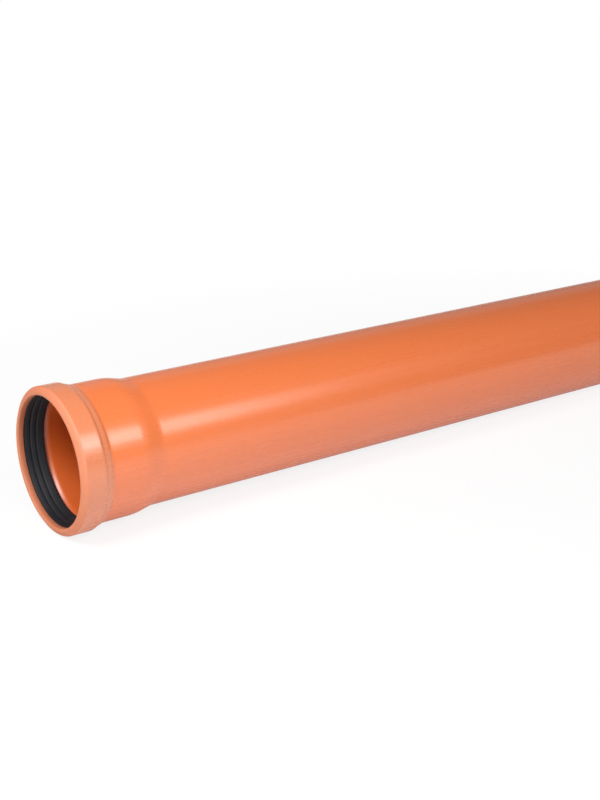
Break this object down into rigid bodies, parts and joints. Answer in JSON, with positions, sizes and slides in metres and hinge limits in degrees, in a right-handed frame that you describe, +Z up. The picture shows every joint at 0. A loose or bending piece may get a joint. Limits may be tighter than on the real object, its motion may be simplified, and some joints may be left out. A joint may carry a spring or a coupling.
{
  "type": "pvc sewer pipe",
  "caption": "Orange-brown PVC sewer pipe with a formed bead socket, a black rubber lip seal in the mouth and a chamfered plain end.",
  "frame": {"origin": "on the floor under the middle of the pipe's length, with the pipe lying on its bead and its plain end", "axes": "+X along the pipe from the socket to the plain end, whose axis dips 0.6 degrees that way as it lies; +Z up"},
  "size_m": [1.0922, 0.182, 0.1823],
  "materials": {
    "pvc": "satin",
    "rubber": "matte"
  },
  "bodies": {
    "root": {"pipe": "pvc", "seal_ring": "rubber"}
  },
  "joints": []
}
